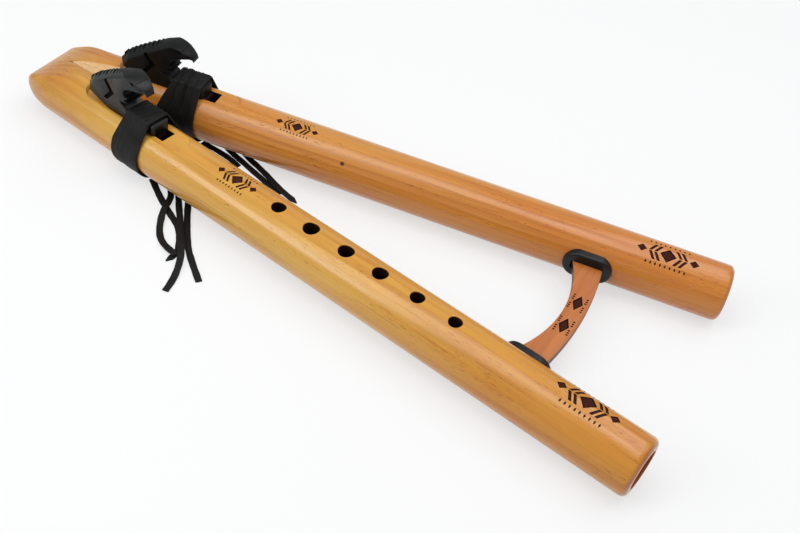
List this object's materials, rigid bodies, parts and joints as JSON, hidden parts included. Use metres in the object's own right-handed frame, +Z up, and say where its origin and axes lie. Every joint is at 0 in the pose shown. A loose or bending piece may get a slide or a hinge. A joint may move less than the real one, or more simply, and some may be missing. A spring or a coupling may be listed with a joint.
{
  "type": "double flute",
  "caption": "Wooden double flute: melody tube with finger holes and plain drone tube share a mouthpiece, spread to a brace, with carved bird-head blocks strapped on.",
  "frame": {"origin": "on the floor, half way between the mouth face and the farthest foot, on the middle line between the flutes", "axes": "+X from the mouthpiece to the feet, +Y towards the drone flute, +Z up, away from the floor"},
  "size_m": [0.4558, 0.1957, 0.0662],
  "materials": {
    "honey_wood": "satin varnish, pale honey",
    "amber_wood": "satin varnish, orange brown",
    "red_wood": "satin, reddish brown",
    "black_wood": "satin black",
    "black_leather": "matte black"
  },
  "bodies": {
    "flutes": {"melody_upper_half": "honey_wood", "melody_lower_half": "honey_wood", "drone_upper_half": "amber_wood", "drone_lower_half": "amber_wood", "melody_strap": "black_leather", "drone_strap": "black_leather", "melody_knot": "black_leather", "drone_knot": "black_leather", "melody_collar": "black_wood", "drone_collar": "black_wood", "brace": "red_wood", "melody_lace_1": "black_leather", "melody_lace_2": "black_leather", "melody_lace_3": "black_leather", "melody_lace_4": "black_leather", "drone_lace_1": "black_leather", "drone_lace_2": "black_leather", "drone_lace_3": "black_leather"},
    "melody_block": {"melody_block": "black_wood"},
    "drone_block": {"drone_block": "black_wood"}
  },
  "joints": [
    {"name": "melody_block_slide", "type": "slide", "parent": "flutes", "child": "melody_block", "axis": [0.9891, -0.1472, 0], "range_m": [-0.003, 0.001]},
    {"name": "drone_block_slide", "type": "slide", "parent": "flutes", "child": "drone_block", "axis": [0.9891, 0.1472, 0], "range_m": [-0.003, 0.001]}
  ]
}
